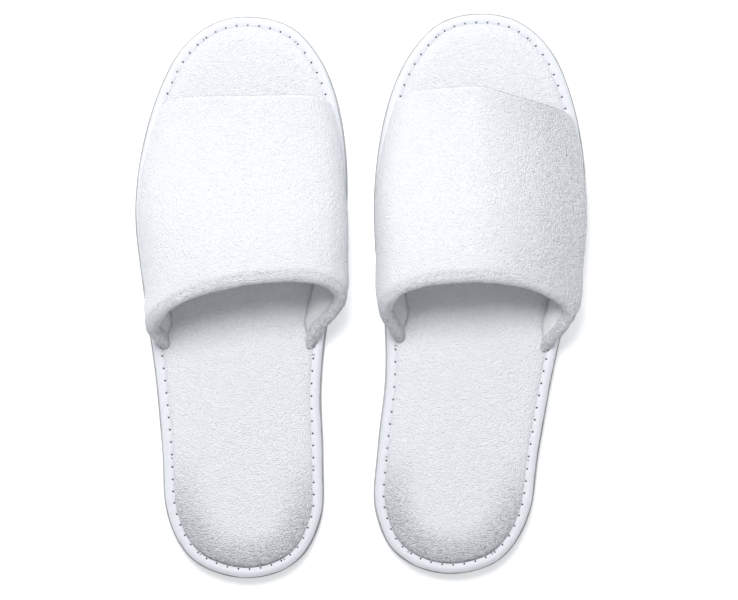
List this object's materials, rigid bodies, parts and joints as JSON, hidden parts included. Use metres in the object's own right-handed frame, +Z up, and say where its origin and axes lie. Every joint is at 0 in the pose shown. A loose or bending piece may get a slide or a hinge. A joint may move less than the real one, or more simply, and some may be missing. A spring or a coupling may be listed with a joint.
{
  "type": "pair of open-toe terry slippers",
  "caption": "Pair of flat open-toe spa slippers: terry insole bound round the edge, padded terry band arching over the forefoot, thin soft sole.",
  "frame": {"origin": "on the floor under the middle of the pair's bounding box", "axes": "+X towards the wearer's right, +Y from heels to toes, +Z up"},
  "size_m": [0.2322, 0.2914, 0.0584],
  "materials": {
    "terry": "matte",
    "binding": "matte",
    "thread": "satin",
    "lining": "matte",
    "foam": "matte",
    "eva": "matte"
  },
  "bodies": {
    "left_forefoot": {"left_outsole_forefoot": "eva", "left_insole_pad_forefoot": "foam", "left_insole_cover_forefoot": "terry", "left_edge_binding_forefoot": "binding", "left_edge_stitching_forefoot": "thread", "left_vamp_cover": "terry", "left_vamp_padding": "foam", "left_vamp_lining": "lining"},
    "left_heel": {"left_outsole_heel": "eva", "left_insole_pad_heel": "foam", "left_insole_cover_heel": "terry", "left_edge_binding_heel": "binding", "left_edge_stitching_heel": "thread"},
    "right_forefoot": {"right_outsole_forefoot": "eva", "right_insole_pad_forefoot": "foam", "right_insole_cover_forefoot": "terry", "right_edge_binding_forefoot": "binding", "right_edge_stitching_forefoot": "thread", "right_vamp_cover": "terry", "right_vamp_padding": "foam", "right_vamp_lining": "lining"},
    "right_heel": {"right_outsole_heel": "eva", "right_insole_pad_heel": "foam", "right_insole_cover_heel": "terry", "right_edge_binding_heel": "binding", "right_edge_stitching_heel": "thread"}
  },
  "joints": [
    {"name": "left_sole_flex", "type": "hinge", "parent": "left_forefoot", "child": "left_heel", "pos_m": [-0.0621, -0.034, 0.0131], "axis": [-1, 0, 0], "range_deg": [0, 45], "stiffness_Nm_per_rad": 0.4},
    {"name": "right_slipper_lift", "type": "slide", "parent": "left_forefoot", "child": "right_forefoot", "axis": [0, 0, 1], "range_m": [0, 0.15]},
    {"name": "right_sole_flex", "type": "hinge", "parent": "right_forefoot", "child": "right_heel", "pos_m": [0.0556, -0.0323, 0.0131], "axis": [-0.9968, 0.0802, 0], "range_deg": [0, 45], "stiffness_Nm_per_rad": 0.4}
  ]
}
